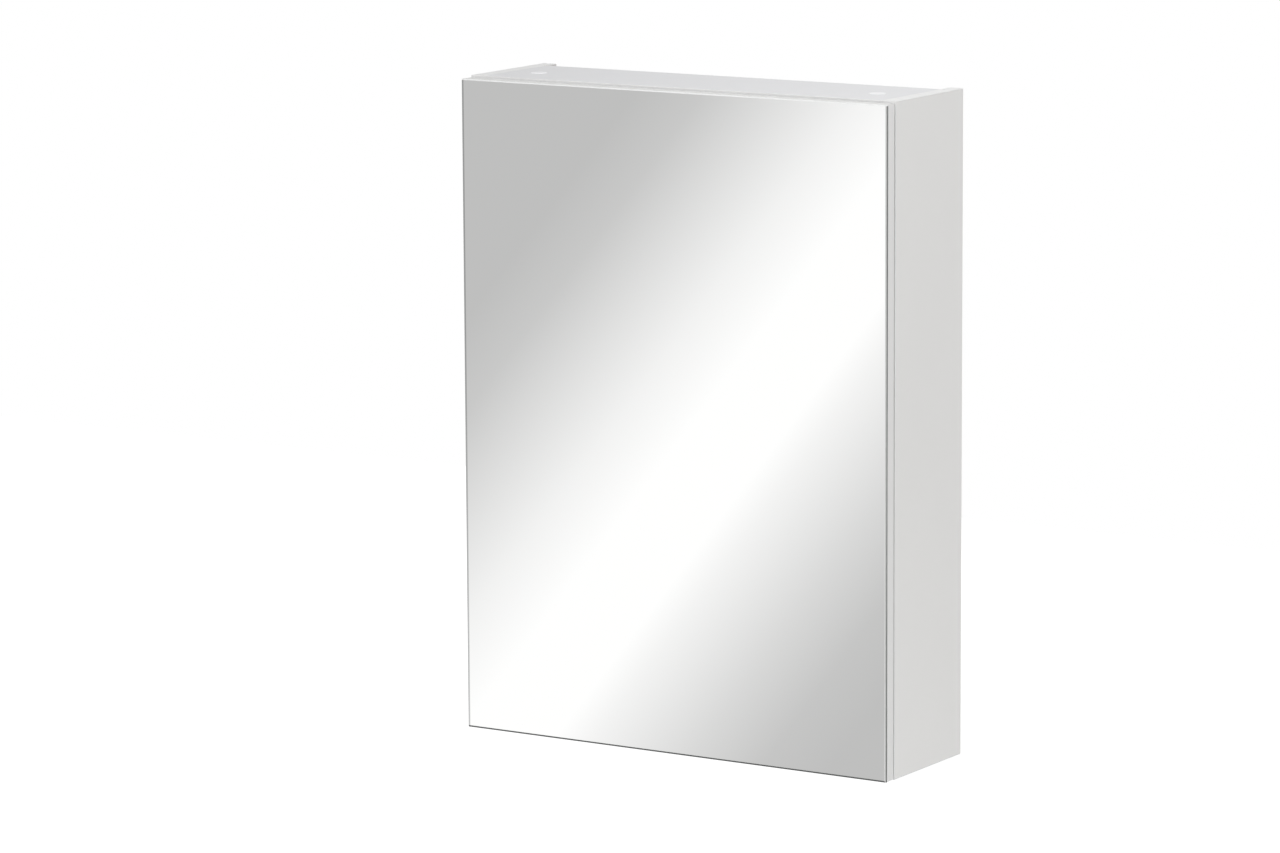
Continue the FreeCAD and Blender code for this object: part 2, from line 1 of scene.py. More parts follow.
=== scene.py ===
# %% [markdown]
# # A mirror cabinet: from plain solids to a studio picture
# The real object is a wall cabinet of white coated chipboard with one mirrored door. A CAD file already
# holds every board, hinge and fitting at its true size and place.
# The cabinet could be modelled again by hand in Blender, but the hinges and the door gap would drift from
# the drawing. So this lesson loads the solids as a fixed frame, gives each one a finish made of nodes, and
# builds only the small repeated fittings again with more detail.

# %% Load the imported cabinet
import math

import bmesh
import bpy
from mathutils import Matrix, Vector


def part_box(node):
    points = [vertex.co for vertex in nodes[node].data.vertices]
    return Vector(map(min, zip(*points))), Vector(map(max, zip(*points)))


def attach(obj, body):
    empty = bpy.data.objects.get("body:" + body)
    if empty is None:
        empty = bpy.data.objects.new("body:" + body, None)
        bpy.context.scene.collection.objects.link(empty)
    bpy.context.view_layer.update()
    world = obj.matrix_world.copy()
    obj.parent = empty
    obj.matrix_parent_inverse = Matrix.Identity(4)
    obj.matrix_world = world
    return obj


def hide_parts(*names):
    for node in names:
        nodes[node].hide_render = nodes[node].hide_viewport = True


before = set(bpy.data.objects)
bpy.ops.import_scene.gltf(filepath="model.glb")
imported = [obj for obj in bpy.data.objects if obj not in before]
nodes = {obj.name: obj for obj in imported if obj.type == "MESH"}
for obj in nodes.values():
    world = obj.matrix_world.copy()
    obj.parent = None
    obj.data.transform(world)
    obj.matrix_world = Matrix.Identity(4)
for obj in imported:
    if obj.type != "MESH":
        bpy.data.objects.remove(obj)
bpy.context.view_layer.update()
scene = bpy.context.scene

# %% [markdown]
# ## Small helpers for node trees
# Every finish below is a tree of nodes. Such a tree could be wired by hand in the editor, but written as
# code it can be read from top to bottom and changed by a number.
# One helper places a node and feeds it, and the others are short names for the nodes that are used often.

# %% Place and feed a node
def add(tree, kind, feeds=None, **options):
    """Place a node, set its options, then feed its inputs with constants or with other outputs."""
    node = tree.nodes.new(kind)
    for option, value in options.items():
        setattr(node, option, value)
    for key, value in (feeds or {}).items():
        if isinstance(value, bpy.types.NodeSocket):
            tree.links.new(value, node.inputs[key])
        else:
            node.inputs[key].default_value = value
    return node


def start_group(name, takes, gives, kind="ShaderNodeTree"):
    """A node group with named inputs, each with its first value, and named outputs."""
    tree = bpy.data.node_groups.new(name, kind)
    for label, socket, value in takes:
        item = tree.interface.new_socket(label, in_out="INPUT", socket_type=socket)
        if value is not None:
            item.default_value = value
    for label, socket in gives:
        tree.interface.new_socket(label, in_out="OUTPUT", socket_type=socket)
    return tree, tree.nodes.new("NodeGroupInput").outputs, tree.nodes.new("NodeGroupOutput").inputs


def use_group(tree, group, **feeds):
    """Place a shared group in a material and feed it by its input names."""
    named = {label.replace("_", " "): value for label, value in feeds.items()}
    return add(tree, "ShaderNodeGroup", named, node_tree=group).outputs


print("node helpers ready")

# %% Short names for common nodes
def calc(tree, operation, *values):
    return add(tree, "ShaderNodeMath", dict(enumerate(values)), operation=operation).outputs[0]


def plus(tree, first, second):
    return calc(tree, "ADD", first, second)


def minus(tree, first, second):
    return calc(tree, "SUBTRACT", first, second)


def times(tree, first, second):
    return calc(tree, "MULTIPLY", first, second)


def vector_calc(tree, operation, *values):
    return add(tree, "ShaderNodeVectorMath", dict(enumerate(values)), operation=operation).outputs[0]


def scaled(tree, vector, factor):
    return add(tree, "ShaderNodeVectorMath", {0: vector, "Scale": factor}, operation="SCALE").outputs[0]


def split(tree, vector):
    return add(tree, "ShaderNodeSeparateXYZ", {0: vector}).outputs


def point_at(tree, x, y, z):
    return add(tree, "ShaderNodeCombineXYZ", {0: x, 1: y, 2: z}).outputs[0]


def mix_colours(tree, share, first, second):
    return add(tree, "ShaderNodeMix", {0: share, 6: first, 7: second}, data_type="RGBA").outputs[2]


def mix_values(tree, share, first, second):
    return add(tree, "ShaderNodeMix", {0: share, 2: first, 3: second}).outputs[0]


def object_place(tree):
    return add(tree, "ShaderNodeTexCoord").outputs["Object"]


print("short names ready")

# %% [markdown]
# ## Shared effects
# Coated board, sheet steel and moulded plastic differ in colour, but they share a few effects: a faint
# unevenness of tone, a fine grain that breaks up the gloss, and places where one finish ends and the next
# begins. Each effect is one node group that works in the object's own coordinates, in metres, so that it
# has its true scale on every piece.

# %% Uneven tone
FLOAT, COLOUR, VECTOR = "NodeSocketFloat", "NodeSocketColor", "NodeSocketVector"
NOISE_MIDDLE = 0.5

uneven_tone, takes, gives = start_group(
    "uneven tone", [("Colour", COLOUR, None), ("Scale", FLOAT, 40.0), ("Amount", FLOAT, 0.02)],
    [("Colour", COLOUR)])
tree = uneven_tone
cloud = add(tree, "ShaderNodeTexNoise",
            {"Vector": object_place(tree), "Scale": takes["Scale"], "Detail": 4.0})
swing = times(tree, minus(tree, cloud.outputs[0], NOISE_MIDDLE), takes["Amount"])
tone = plus(tree, times(tree, swing, 2.0), 1.0)
tree.links.new(scaled(tree, takes["Colour"], tone), gives["Colour"])
print("made", uneven_tone.name)

# %% Fine grain
EVEN = (1.0, 1.0, 1.0)

fine_grain, takes, gives = start_group(
    "fine grain", [("Scale", FLOAT, 900.0), ("Stretch", VECTOR, EVEN), ("Roughness", FLOAT, 0.4),
                   ("Spread", FLOAT, 0.1)],
    [("Height", FLOAT), ("Roughness", FLOAT)])
tree = fine_grain
place = vector_calc(tree, "MULTIPLY", object_place(tree), takes["Stretch"])
pebbles = add(tree, "ShaderNodeTexNoise", {"Vector": place, "Scale": takes["Scale"], "Detail": 3.0})
spread = times(tree, minus(tree, pebbles.outputs[0], NOISE_MIDDLE), takes["Spread"])
tree.links.new(pebbles.outputs[0], gives["Height"])
tree.links.new(plus(tree, takes["Roughness"], spread), gives["Roughness"])
print("made", fine_grain.name)

# %% Inside a box
inside_box, takes, gives = start_group(
    "inside a box", [("Low", VECTOR, None), ("High", VECTOR, None)], [("Mask", FLOAT)])
tree = inside_box
here = object_place(tree)
above = vector_calc(tree, "SUBTRACT", here, takes["Low"])
below = vector_calc(tree, "SUBTRACT", takes["High"], here)
room = split(tree, vector_calc(tree, "MINIMUM", above, below))
least = calc(tree, "MINIMUM", calc(tree, "MINIMUM", room[0], room[1]), room[2])
tree.links.new(calc(tree, "GREATER_THAN", least, 0.0), gives["Mask"])
print("made", inside_box.name)

# %% Raw chipboard
DARK_CHIP, LIGHT_CHIP = (0.20, 0.12, 0.06, 1.0), (0.64, 0.47, 0.28, 1.0)
FIBRE_SCALE, TEAR_SCALE = 1600.0, 600.0
RAGGED = 0.0016
FINE_CHIPS = 2.7
FINE_SHARE, FIBRE_SHARE = 0.40, 0.35

raw_board, takes, gives = start_group(
    "raw chipboard", [("Scale", FLOAT, 500.0), ("Stretch", VECTOR, EVEN)],
    [("Colour", COLOUR), ("Height", FLOAT)])
tree = raw_board
here = object_place(tree)
fibres = add(tree, "ShaderNodeTexNoise", {"Vector": here, "Scale": FIBRE_SCALE, "Detail": 4.0})
tear = add(tree, "ShaderNodeTexNoise", {"Vector": here, "Scale": TEAR_SCALE, "Detail": 3.0})
pull = vector_calc(tree, "SUBTRACT", tear.outputs["Color"], (NOISE_MIDDLE,) * 3)
torn = vector_calc(tree, "ADD", here, scaled(tree, pull, RAGGED))
flattened = vector_calc(tree, "MULTIPLY", torn, takes["Stretch"])
chip_tones = []
for scale in (takes["Scale"], times(tree, takes["Scale"], FINE_CHIPS)):
    chips = add(tree, "ShaderNodeTexVoronoi", {"Vector": flattened, "Scale": scale})
    chip_tones.append(add(tree, "ShaderNodeSeparateColor", {0: chips.outputs["Color"]}).outputs[0])
blend = mix_values(tree, FINE_SHARE, *chip_tones)
blend = mix_values(tree, FIBRE_SHARE, blend, fibres.outputs[0])
tree.links.new(mix_colours(tree, blend, DARK_CHIP, LIGHT_CHIP), gives["Colour"])
tree.links.new(blend, gives["Height"])
print("made", raw_board.name)

# %% [markdown]
# ## White coated board
# The sides, top, bottom, shelves and door board are chipboard pressed between sheets of white melamine
# paper, with a thin plastic band glued round the edges that show. The paper has a fine pearl texture, and
# the drilled holes and the hidden rear edges show the raw chips.
# The raw places could be separate pieces, but a mask in object coordinates finds them without new meshes:
# a point that lies inside the board by more than the skin's thickness is raw.

# %% Start a finish and give it to solids
def start_finish(name, **constants):
    """A new material with plain constants on its one shader."""
    material = bpy.data.materials.new(name)
    material.use_nodes = True
    shader = material.node_tree.nodes["Principled BSDF"]
    for label, value in constants.items():
        shader.inputs[label.replace("_", " ")].default_value = value
    return material, material.node_tree, shader


def colour_and_gloss(tree, shader, colour, roughness):
    tree.links.new(colour, shader.inputs["Base Color"])
    tree.links.new(roughness, shader.inputs["Roughness"])


def bump(tree, shader, height, distance, strength):
    relief = add(tree, "ShaderNodeBump", {"Height": height, "Distance": distance, "Strength": strength})
    tree.links.new(relief.outputs[0], shader.inputs["Normal"])


def dress(material, *names):
    for name in names:
        nodes[name].data.materials.clear()
        nodes[name].data.materials.append(material)
    print(f"{material.name}: {', '.join(names)}")


print("finish helpers ready")

# %% The board's finish
BAND_WHITE = (0.885, 0.885, 0.880, 1.0)
BAND_JOINT = (0.58, 0.575, 0.56, 1.0)
SKIN = 0.0004
BAND_THICKNESS = 0.0010
JOINT_WIDTH = 0.00015
FLAT_CHIP = 2.4
RAW_ROUGHNESS = 0.9
PEARL_SHARE = 0.12
ALL_SIDES = ("-x", "+x", "-y", "+y", "-z", "+z")


def moved_sides(low, high, sides, step):
    """The box with the named sides, such as '+y', pushed in by step."""
    low, high = low.copy(), high.copy()
    for sign, axis in sides:
        if sign == "+":
            high["xyz".index(axis)] -= step
        else:
            low["xyz".index(axis)] += step
    return low, high


def coated_board(name, paper, banded, raw_sides, band_white=BAND_WHITE):
    """White melamine with a plastic band on some sides; raw sides show the chips."""
    low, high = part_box(name)
    material, tree, shader = start_finish(f"white melamine {name}")

    def within(sides, step):
        reach = moved_sides(low, high, ALL_SIDES, -SKIN)
        box = moved_sides(*reach, sides, step + SKIN)
        return use_group(tree, inside_box, Low=box[0], High=box[1])["Mask"]

    white = use_group(tree, uneven_tone, Colour=paper, Scale=14.0, Amount=0.012)["Colour"]
    band = use_group(tree, uneven_tone, Colour=band_white, Scale=60.0, Amount=0.012)["Colour"]
    past_band = within(banded, BAND_THICKNESS)
    past_joint = within(banded, BAND_THICKNESS + JOINT_WIDTH)
    raw = within([side for side in ALL_SIDES if side not in raw_sides], SKIN)
    thickness = high - low
    lying = [FLAT_CHIP if reach == min(thickness) else 1.0 for reach in thickness]
    chips = use_group(tree, raw_board, Scale=420.0, Stretch=lying)
    pearl = use_group(tree, fine_grain, Scale=1100.0, Roughness=0.44, Spread=0.12)
    edged = mix_colours(tree, past_band, band, BAND_JOINT)
    coat = mix_colours(tree, past_joint, edged, white)
    colour_and_gloss(tree, shader, mix_colours(tree, raw, coat, chips["Colour"]),
                     mix_values(tree, raw, pearl["Roughness"], RAW_ROUGHNESS))
    relief = mix_values(tree, raw, times(tree, pearl["Height"], PEARL_SHARE), chips["Height"])
    bump(tree, shader, relief, distance=0.0002, strength=0.5)
    return material


print(f"boards have a skin of {SKIN * 1000:.1f} mm and bands of {BAND_THICKNESS * 1000:.1f} mm")

# %% Dress the boards
PAPER_WHITE = (0.830, 0.825, 0.811, 1.0)
# The top and bottom panels are the same melamine as the sides, written darker and cooler: painted shade that
# holds the top, which takes the strongest light, near the tone of the sides
SHADED_COOL_WHITE = (0.800, 0.802, 0.816, 1.0)
# The door's band is the same plastic as the other bands, written darker: painted shade on the door's edges
SHADED_DOOR_BAND_WHITE = (0.815, 0.812, 0.802, 1.0)
BOXED_IN = ("+y", "-x", "+x")

for name in ("side_panel_left", "side_panel_right"):
    dress(coated_board(name, PAPER_WHITE, ("-y", "-z", "+z"), ("+y",)), name)
for name in ("top_panel", "bottom_panel"):
    dress(coated_board(name, SHADED_COOL_WHITE, ("-y",), BOXED_IN), name)
for name in ("lower_shelf", "upper_shelf"):
    dress(coated_board(name, PAPER_WHITE, ("-y",), BOXED_IN), name)
# The door board's band colour carries painted shade
dress(coated_board("door_board", PAPER_WHITE, ("-x", "+x", "-z", "+z"), (), SHADED_DOOR_BAND_WHITE), "door_board")

# %% [markdown]
# ## Back panel
# The back is a thin sheet of hardboard. Its inside is lacquered white like the boards, and its wall side is
# left brown, with the woven print of the press screen.
# A mask in depth splits the two faces, and two crossed waves make the screen print.

# %% Finish for the back panel
LACQUER_WHITE = (0.80, 0.80, 0.79, 1.0)
HARDBOARD_BROWN = (0.20, 0.115, 0.06, 1.0)
SCREEN_PITCH = 0.0016
# The wave texture repeats every 0.314 metres at a scale of 1
WAVE_PITCH = 0.314
WALL_SIDE_ROUGHNESS = 0.82
LACQUER_RELIEF = 0.1
# A limit in metres that lies beyond every piece
BEYOND = 1.0

low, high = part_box("back_panel")
middle = (low.y + high.y) / 2
material, tree, shader = start_finish("white hardboard")
wall_side = use_group(tree, inside_box, Low=(low.x - BEYOND, middle, low.z - BEYOND),
                      High=(high.x + BEYOND, BEYOND, high.z + BEYOND))["Mask"]
lacquer = use_group(tree, uneven_tone, Colour=LACQUER_WHITE, Scale=18.0, Amount=0.02)["Colour"]
brown = use_group(tree, uneven_tone, Colour=HARDBOARD_BROWN, Scale=260.0, Amount=0.28)["Colour"]
smooth = use_group(tree, fine_grain, Scale=700.0, Roughness=0.5, Spread=0.1)
colour_and_gloss(tree, shader, mix_colours(tree, wall_side, lacquer, brown),
                 mix_values(tree, wall_side, smooth["Roughness"], WALL_SIDE_ROUGHNESS))
threads = []
for axis in "XZ":
    wave = add(tree, "ShaderNodeTexWave", {"Vector": object_place(tree), "Scale": WAVE_PITCH / SCREEN_PITCH,
                                           "Distortion": 0.4}, bands_direction=axis)
    threads.append(wave.outputs[1])
weave = calc(tree, "MAXIMUM", *threads)
relief = mix_values(tree, wall_side, times(tree, smooth["Height"], LACQUER_RELIEF), weave)
bump(tree, shader, relief, distance=0.0002, strength=0.6)
dress(material, "back_panel")

# %% [markdown]
# ## Mirror
# The mirror is float glass, silvered and painted on its rear, with its front edges ground to a small flat.
# Seen from the front it is a near-perfect metal, a little duller along its left rim, where the silver thins
# out. The cut edges show the dark grey-green body of the glass, and the ground flats are frosted. The upper
# flat is written much paler than the right one: painted highlight for the light that falls on it from above.
# A clear glass sheet with a metal sheet behind it would need many more light bounces and look the same, so
# one shader is metal on the front, glass-coloured on the edges and painted on the rear.

# %% Regions of the mirror
FACE_DEPTH = 0.0002
FLAT = 0.0012
THIN_RIM, BARE_BOTTOM = 0.0028, 0.0019
OPEN = (-BEYOND, BEYOND)

low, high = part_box("mirror_glass")
material, tree, shader = start_finish("mirror")


def glass_part(x=OPEN, y=OPEN, z=OPEN):
    """1 between the given limits of each axis."""
    return use_group(tree, inside_box, Low=(x[0], y[0], z[0]), High=(x[1], y[1], z[1]))["Mask"]


face = glass_part(y=(-BEYOND, low.y + FACE_DEPTH), z=(low.z + BARE_BOTTOM, BEYOND))
thin_rim = glass_part(x=(-BEYOND, low.x + THIN_RIM))
right_flat = glass_part(x=(high.x - FLAT, BEYOND), y=(-BEYOND, low.y + FLAT))
top_flat = glass_part(z=(high.z - FLAT, BEYOND))
rear = glass_part(y=(high.y - FACE_DEPTH, BEYOND))
print(f"mirror of {high.x - low.x:.3f} by {high.z - low.z:.3f} m, flats of {FLAT * 1000:.1f} mm")

# %% Finish for the mirror
SILVER = (0.950, 0.951, 0.945, 1.0)
CUT_EDGE = (0.085, 0.090, 0.088, 1.0)
THIN_SILVER = (0.575, 0.580, 0.575, 1.0)
FROSTED = (0.515, 0.52, 0.51, 1.0)
# Painted highlight: the pale tone of the upper flat stands in for the light from above
PAINTED_HIGHLIGHT_FLAT = (0.88, 0.885, 0.88, 1.0)
REAR_PAINT = (0.24, 0.25, 0.26, 1.0)


def glass_tone(colour, scale, amount):
    return use_group(tree, uneven_tone, Colour=colour, Scale=scale, Amount=amount)["Colour"]


edge = mix_colours(tree, right_flat, glass_tone(CUT_EDGE, scale=220.0, amount=0.2),
                   glass_tone(FROSTED, scale=400.0, amount=0.1))
# The upper flat gets the pale tone, which is painted highlight
edge = mix_colours(tree, top_flat, edge, glass_tone(PAINTED_HIGHLIGHT_FLAT, scale=400.0, amount=0.05))
body = mix_colours(tree, rear, edge, glass_tone(REAR_PAINT, scale=30.0, amount=0.06))
silver = mix_colours(tree, thin_rim, glass_tone(SILVER, scale=5.0, amount=0.003),
                     glass_tone(THIN_SILVER, scale=60.0, amount=0.02))
ground = use_group(tree, fine_grain, Scale=1500.0, Roughness=0.40, Spread=0.2)
wiped = use_group(tree, fine_grain, Scale=9.0, Roughness=0.012, Spread=0.012)
colour_and_gloss(tree, shader, mix_colours(tree, face, body, silver),
                 mix_values(tree, face, ground["Roughness"], wiped["Roughness"]))
tree.links.new(face, shader.inputs["Metallic"])
relief = times(tree, ground["Height"], minus(tree, 1.0, face))
bump(tree, shader, relief, distance=0.00004, strength=0.4)
dress(material, "mirror_glass")

# %% [markdown]
# ## Metal fittings
# The hinges are pressed steel with a nickel coat, the plates and cams are cast or plated zinc, and the
# hangers are cut from galvanised sheet with its crystal spangle.
# All of them are metal shaders. What tells them apart is the tint, the gloss and the direction of the grain,
# so one function takes those as values.

# %% Finish for metals
def metal(name, colour, roughness, spread, grain, stretch, tone_scale, tone_amount):
    """A metal with a tint and a grain; stretch draws the grain out along an axis."""
    material, tree, shader = start_finish(name, Metallic=1.0)
    tint = use_group(tree, uneven_tone, Colour=colour, Scale=tone_scale, Amount=tone_amount)["Colour"]
    lines = use_group(tree, fine_grain, Scale=grain, Stretch=stretch, Roughness=roughness, Spread=spread)
    colour_and_gloss(tree, shader, tint, lines["Roughness"])
    bump(tree, shader, lines["Height"], distance=0.00003, strength=0.35)
    return material


DRAWN = (1.0, 0.12, 1.0)
nickel = metal("nickel plated steel", colour=(0.70, 0.69, 0.66, 1.0), roughness=0.24, spread=0.16,
               grain=700.0, stretch=DRAWN, tone_scale=60.0, tone_amount=0.06)
zinc = metal("die-cast zinc", colour=(0.56, 0.57, 0.58, 1.0), roughness=0.42, spread=0.22,
             grain=900.0, stretch=EVEN, tone_scale=120.0, tone_amount=0.12)
plated = metal("plated screws", colour=(0.66, 0.66, 0.62, 1.0), roughness=0.30, spread=0.18,
               grain=1500.0, stretch=EVEN, tone_scale=300.0, tone_amount=0.10)
LINKS = [f"{level}_hinge_{kind}" for level in ("lower", "upper")
         for kind in ("arm", "cup", "main_link", "guide_links")]
PLATES = ("lower_hinge_plate", "upper_hinge_plate")
dress(nickel, *LINKS, "hinge_arm_pins", "hinge_cup_pins", "cam_bolts")
dress(zinc, "cam_locks", *PLATES)

# %% Finish for galvanised sheet
DULL_CRYSTAL, BRIGHT_CRYSTAL = (0.50, 0.52, 0.54, 1.0), (0.68, 0.70, 0.71, 1.0)
CRYSTAL_GLOSS, CRYSTAL_SPREAD = 0.28, 0.22
HANGERS = ("hanger_bracket_left", "hanger_bracket_right")

material, tree, shader = start_finish("galvanised steel", Metallic=1.0)
crystals = add(tree, "ShaderNodeTexVoronoi", {"Vector": object_place(tree), "Scale": 190.0})
facet = add(tree, "ShaderNodeSeparateColor", {0: crystals.outputs["Color"]}).outputs[0]
colour_and_gloss(tree, shader, mix_colours(tree, facet, DULL_CRYSTAL, BRIGHT_CRYSTAL),
                 plus(tree, times(tree, facet, CRYSTAL_SPREAD), CRYSTAL_GLOSS))
bump(tree, shader, crystals.outputs["Distance"], distance=0.00003, strength=0.3)
dress(material, *HANGERS)

# %% [markdown]
# ## Plastic, rubber, foam and wood
# The covers over the cams and the shelf pins are moulded white plastic with a faint orange-peel skin. The
# door closes on two clear rubber dots, strips of foam tape hold the glass, and beech dowels line up the
# boards.
# Each one is a small material of its own, because their light behaves differently. The tape gets its finish
# here. The others wait for the detailed pieces further down.

# %% White plastic and clear rubber
PLASTIC_WHITE = (0.965, 0.965, 0.985, 1.0)
RUBBER_TINT = (0.92, 0.93, 0.92, 1.0)

plastic, tree, shader = start_finish("white plastic", IOR=1.49)
tint = use_group(tree, uneven_tone, Colour=PLASTIC_WHITE, Scale=120.0, Amount=0.012)["Colour"]
peel = use_group(tree, fine_grain, Scale=1300.0, Roughness=0.36, Spread=0.1)
colour_and_gloss(tree, shader, tint, peel["Roughness"])
bump(tree, shader, peel["Height"], distance=0.00003, strength=0.3)

rubber, tree, shader = start_finish("clear rubber", IOR=1.43, Transmission_Weight=0.8)
tint = use_group(tree, uneven_tone, Colour=RUBBER_TINT, Scale=300.0, Amount=0.02)["Colour"]
haze = use_group(tree, fine_grain, Scale=800.0, Roughness=0.14, Spread=0.05)
colour_and_gloss(tree, shader, tint, haze["Roughness"])
print("made", plastic.name, "and", rubber.name)

# %% Tape foam
FOAM_SHADE, FOAM_LIGHT = (0.62, 0.62, 0.61, 1.0), (0.80, 0.80, 0.79, 1.0)

foam, tree, shader = start_finish("tape foam")
bubbles = add(tree, "ShaderNodeTexVoronoi", {"Vector": object_place(tree), "Scale": 2600.0})
pores = bubbles.outputs["Distance"]
cells = use_group(tree, fine_grain, Scale=1800.0, Roughness=0.88, Spread=0.1)
colour_and_gloss(tree, shader, mix_colours(tree, pores, FOAM_SHADE, FOAM_LIGHT), cells["Roughness"])
bump(tree, shader, pores, distance=0.0001, strength=0.6)
dress(foam, "mirror_tape")

# %% Beech
DARK_YEAR, LIGHT_YEAR = (0.36, 0.20, 0.10, 1.0), (0.66, 0.46, 0.29, 1.0)
YEAR_STRETCH, FLECK_STRETCH = (0.12, 1.0, 1.0), (0.2, 1.0, 1.0)

beech, tree, shader = start_finish("beech wood")
along = vector_calc(tree, "MULTIPLY", object_place(tree), YEAR_STRETCH)
years = add(tree, "ShaderNodeTexNoise",
            {"Vector": along, "Scale": 420.0, "Detail": 5.0, "Distortion": 0.6}).outputs[0]
flecks = use_group(tree, fine_grain, Scale=1400.0, Stretch=FLECK_STRETCH, Roughness=0.6, Spread=0.2)
colour_and_gloss(tree, shader, mix_colours(tree, years, DARK_YEAR, LIGHT_YEAR), flecks["Roughness"])
bump(tree, shader, years, distance=0.0001, strength=0.5)
print("made", beech.name)

# %% [markdown]
# ## Broken edges
# No real edge is perfectly sharp: bands are scraped, steel is tumbled, and each edge catches a thin line of
# light. A rounded edge could be drawn in CAD, but it costs many faces there.
# The solids arrive as loose triangles, so a Weld modifier joins them first and a small Bevel follows. Both
# stay live, and the solids themselves aren't changed. With Loop Slide on, the rims of the drilled holes
# would slide along the long thin triangles and fold them over, so it is off.

# %% Bevel the solids
EDGE_STEPS = 2
SHARP_FROM = math.radians(50)
WELD_REACH = 0.000005
BOARD_EDGE = 0.0005
METAL_EDGE = 0.00018


def round_edges(piece, width):
    """A live bevel on the sharp edges of a piece."""
    edge = piece.modifiers.new("edge", "BEVEL")
    edge.width = width
    edge.segments = EDGE_STEPS
    edge.limit_method = "ANGLE"
    edge.angle_limit = SHARP_FROM
    edge.harden_normals = True
    return edge


def soften(width, *names):
    for name in names:
        weld = nodes[name].modifiers.new("weld", "WELD")
        weld.merge_threshold = WELD_REACH
        edge = round_edges(nodes[name], width)
        edge.use_clamp_overlap = False
        edge.loop_slide = False
    print(f"edges of {len(names)} solids rounded by {width * 1000:.2f} mm")


soften(BOARD_EDGE, "lower_shelf", "upper_shelf", "side_panel_left", "side_panel_right", "top_panel",
       "bottom_panel", "door_board")
soften(METAL_EDGE, *LINKS, *PLATES, *HANGERS)

# %% [markdown]
# ## Screws, nails and cam covers
# Twenty-odd screws and nails hold the hinges, hangers and back, and four round covers hide the cams. They
# differ only in size: a head, a shank and perhaps a cross-shaped recess.
# Each could be a copy of one mesh, but Geometry Nodes build them all from one recipe with named sizes: a
# tall cylinder is reshaped ring by ring into head and thread, a cross is cut into the head, and the result
# is set on every point of a seat mesh, turned to the direction stored there.

# %% Helpers for shaping
GEOMETRY, WHOLE, SURFACE = "NodeSocketGeometry", "NodeSocketInt", "NodeSocketMaterial"
MILLIMETRE = 0.001


def start_recipe(name, lengths, numbers=()):
    """A geometry tree that takes seats, named lengths, plain numbers and a finish."""
    takes = [("Seats", GEOMETRY, None)] + [(label, FLOAT, MILLIMETRE) for label in lengths]
    takes += [*numbers, ("Finish", SURFACE, None)]
    return start_group(name, takes, [("Geometry", GEOMETRY)], "GeometryNodeTree")


def own_place(tree):
    """The x, y and z of each corner of the mesh that is being shaped."""
    return split(tree, add(tree, "GeometryNodeInputPosition").outputs[0])


def on_radius(tree, spot, radius, level):
    """The place of a unit cylinder's corner, moved to a radius and a level."""
    return point_at(tree, times(tree, spot[0], radius), times(tree, spot[1], radius), level)


def reshape(tree, mesh, place):
    return add(tree, "GeometryNodeSetPosition", {"Geometry": mesh, "Position": place}).outputs[0]


def shifted(tree, mesh, way, turn=(0.0, 0.0, 0.0)):
    feeds = {"Geometry": mesh, "Translation": way, "Rotation": turn}
    return add(tree, "GeometryNodeTransform", feeds).outputs[0]


def block(tree, size, middle):
    return shifted(tree, add(tree, "GeometryNodeMeshCube", {"Size": size}).outputs[0], middle)


print("shape helpers ready")

# %% Helpers for setting on seats
SHARP_ANGLE = 0.6


def facing(tree, axis, pivot="AUTO"):
    """The turn that points the axis along the direction stored on each seat."""
    aim = add(tree, "GeometryNodeInputNamedAttribute", {"Name": "aim"}, data_type="FLOAT_VECTOR").outputs[0]
    turn = add(tree, "FunctionNodeAlignRotationToVector", {"Vector": aim}, axis=axis, pivot_axis=pivot)
    return turn.outputs[0]


def set_on_seats(tree, takes, gives, shape, stance):
    """Shade the shape with crisp edges, set it on every seat and give it its finish."""
    rounded = add(tree, "GeometryNodeSetShadeSmooth", {"Geometry": shape, "Shade Smooth": True},
                  domain="FACE")
    crease = calc(tree, "GREATER_THAN", add(tree, "GeometryNodeInputMeshEdgeAngle").outputs[0], SHARP_ANGLE)
    crisp = add(tree, "GeometryNodeSetShadeSmooth",
                {"Geometry": rounded.outputs[0], "Selection": crease, "Shade Smooth": False}, domain="EDGE")
    placed = add(tree, "GeometryNodeInstanceOnPoints",
                 {"Points": takes["Seats"], "Instance": crisp.outputs[0], "Rotation": stance})
    solid = add(tree, "GeometryNodeRealizeInstances", {0: placed.outputs[0]})
    coated = add(tree, "GeometryNodeSetMaterial",
                 {"Geometry": solid.outputs[0], "Material": takes["Finish"]})
    tree.links.new(coated.outputs[0], gives["Geometry"])
    print(f"{tree.name}: {len(tree.nodes)} nodes")


print("seat helpers ready")

# %% The fastener's head and shank
FASTENER_SIZES = ("Head Radius", "Head Height", "Shank Radius", "Shank Length", "Recess Length",
                  "Recess Width", "Recess Depth")
RINGS = 64
THREAD_RINGS = 4.0
TINY = 0.00001

fastener, takes, gives = start_recipe(
    "fastener", FASTENER_SIZES, [("Dome", FLOAT, 0.5), ("Thread", FLOAT, 0.2), ("Sides", WHOLE, 24)])
tree = fastener
blank = add(tree, "GeometryNodeMeshCylinder",
            {"Vertices": takes["Sides"], "Side Segments": RINGS, "Radius": 1.0, "Depth": 1.0},
            fill_type="NGON")
spot = own_place(tree)
whole = plus(tree, takes["Shank Length"], takes["Head Height"])
share = plus(tree, spot[2], 0.5)
level = minus(tree, times(tree, share, whole), takes["Shank Length"])
rise = calc(tree, "DIVIDE", calc(tree, "MAXIMUM", level, 0.0), takes["Head Height"])
bulge = times(tree, calc(tree, "POWER", rise, 2.0), takes["Dome"])
head = times(tree, takes["Head Radius"], calc(tree, "SQRT", minus(tree, 1.0, bulge)))
ring = times(tree, share, RINGS / THREAD_RINGS)
notch = times(tree, calc(tree, "PINGPONG", ring, 0.5), takes["Thread"])
